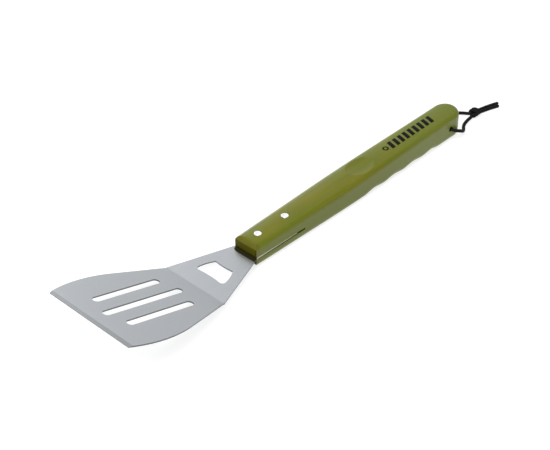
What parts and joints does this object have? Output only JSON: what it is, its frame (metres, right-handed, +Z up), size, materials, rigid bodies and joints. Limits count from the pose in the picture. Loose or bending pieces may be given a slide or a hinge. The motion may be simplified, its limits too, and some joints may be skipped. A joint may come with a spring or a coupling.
{
  "type": "grill spatula",
  "caption": "Long slotted metal turner with a raised blade, a bottle opener cut into its neck, and a riveted wooden handle with finger grooves, a thumb dish and a knotted hanging cord.",
  "frame": {"origin": "middle of the spatula's length and width, on the surface that the handle's underside lies on", "axes": "+X from the blade to the butt of the handle, +Z up, away from the surface the handle lies on"},
  "size_m": [0.498, 0.0972, 0.0427],
  "materials": {
    "stainless_steel": "fine brushed, ground front bevel",
    "lacquered_wood": "olive-green stained and lacquered hardwood, satin gloss",
    "aluminium": "bright turned",
    "cord": "black twisted and waxed"
  },
  "bodies": {
    "root": {"turner_blade": "stainless_steel", "handle": "lacquered_wood", "rivet_front": "aluminium", "rivet_rear": "aluminium", "cord_strand_near": "cord", "cord_strand_far": "cord", "cord_knot": "cord", "cord_tail_long": "cord", "cord_tail_short": "cord"}
  },
  "joints": []
}
